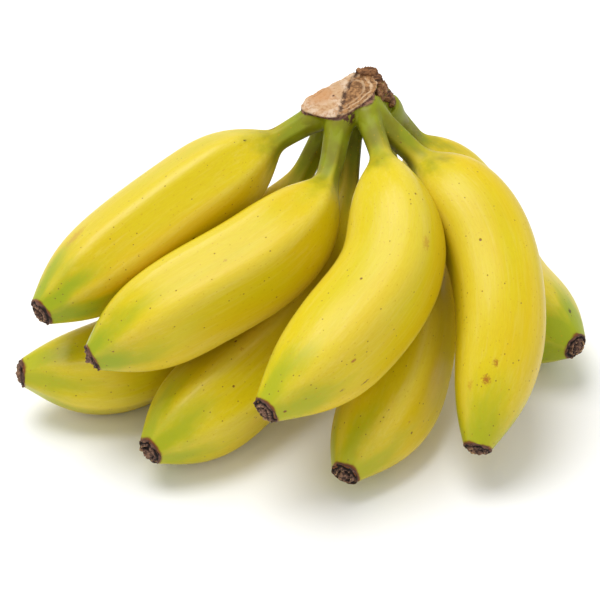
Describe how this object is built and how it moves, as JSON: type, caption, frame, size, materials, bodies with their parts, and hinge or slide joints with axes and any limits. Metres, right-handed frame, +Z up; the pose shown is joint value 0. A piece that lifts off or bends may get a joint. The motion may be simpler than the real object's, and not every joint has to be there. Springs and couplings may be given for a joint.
{
  "type": "bunch of bananas",
  "caption": "Hand of short, plump, ripe bananas with green necks and dark dried blossom ends, joined at a cut woody crown and lying on a surface.",
  "frame": {"origin": "on the surface that the hand lies on, under the middle of its bounding box", "axes": "+Z up, +X along the hand's longest side, the blossom ends spread towards -Y and the crown is towards +Y"},
  "size_m": [0.2016, 0.1446, 0.0978],
  "materials": {
    "peel": "waxy satin banana peel, yellow, green at the neck and the tip, with fine brown specks",
    "dried_flower": "dry, rough, dark brown remnant of the flower",
    "crown_tissue": "dry cut plant tissue, tan with brown rings and a dark rim"
  },
  "bodies": {
    "root": {"finger_upper_1": "peel", "finger_upper_2": "peel", "finger_upper_3": "peel", "finger_upper_4": "peel", "finger_lower_1": "peel", "finger_lower_2": "peel", "finger_lower_3": "peel", "finger_lower_4": "peel", "blossom_upper_1": "dried_flower", "blossom_upper_2": "dried_flower", "blossom_upper_3": "dried_flower", "blossom_upper_4": "dried_flower", "blossom_lower_1": "dried_flower", "blossom_lower_2": "dried_flower", "blossom_lower_3": "dried_flower", "blossom_lower_4": "dried_flower", "crown": "crown_tissue"}
  },
  "joints": []
}
